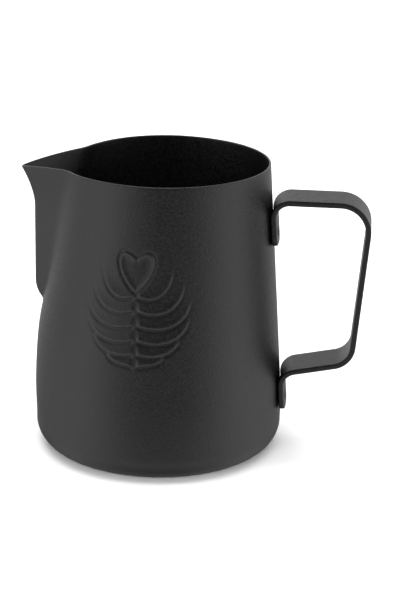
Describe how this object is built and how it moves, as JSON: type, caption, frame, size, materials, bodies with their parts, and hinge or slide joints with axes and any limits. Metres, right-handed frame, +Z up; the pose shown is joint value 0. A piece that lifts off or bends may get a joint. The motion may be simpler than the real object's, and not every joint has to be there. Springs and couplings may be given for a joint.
{
  "type": "milk frothing pitcher",
  "caption": "Tapered round pitcher with a pressed V spout and a bent strap handle spot-welded to its wall, for steaming and pouring milk.",
  "frame": {"origin": "on the body's axis, at the plane of the flat ring that it stands on", "axes": "+Z up along the body's axis, +X towards the handle and -X towards the spout"},
  "size_m": [0.1307, 0.0938, 0.11],
  "materials": {
    "coated_body": "matt black baked non-stick coating on stainless steel, finely textured",
    "coated_strap": "matt black baked coating on a stainless steel strap",
    "coated_weld": "matt black baked coating over a spot weld"
  },
  "bodies": {
    "root": {"pitcher_body": "coated_body", "handle_strap": "coated_strap", "upper_spot_weld_left": "coated_weld", "upper_spot_weld_right": "coated_weld", "lower_spot_weld_left": "coated_weld", "lower_spot_weld_right": "coated_weld"}
  },
  "joints": []
}
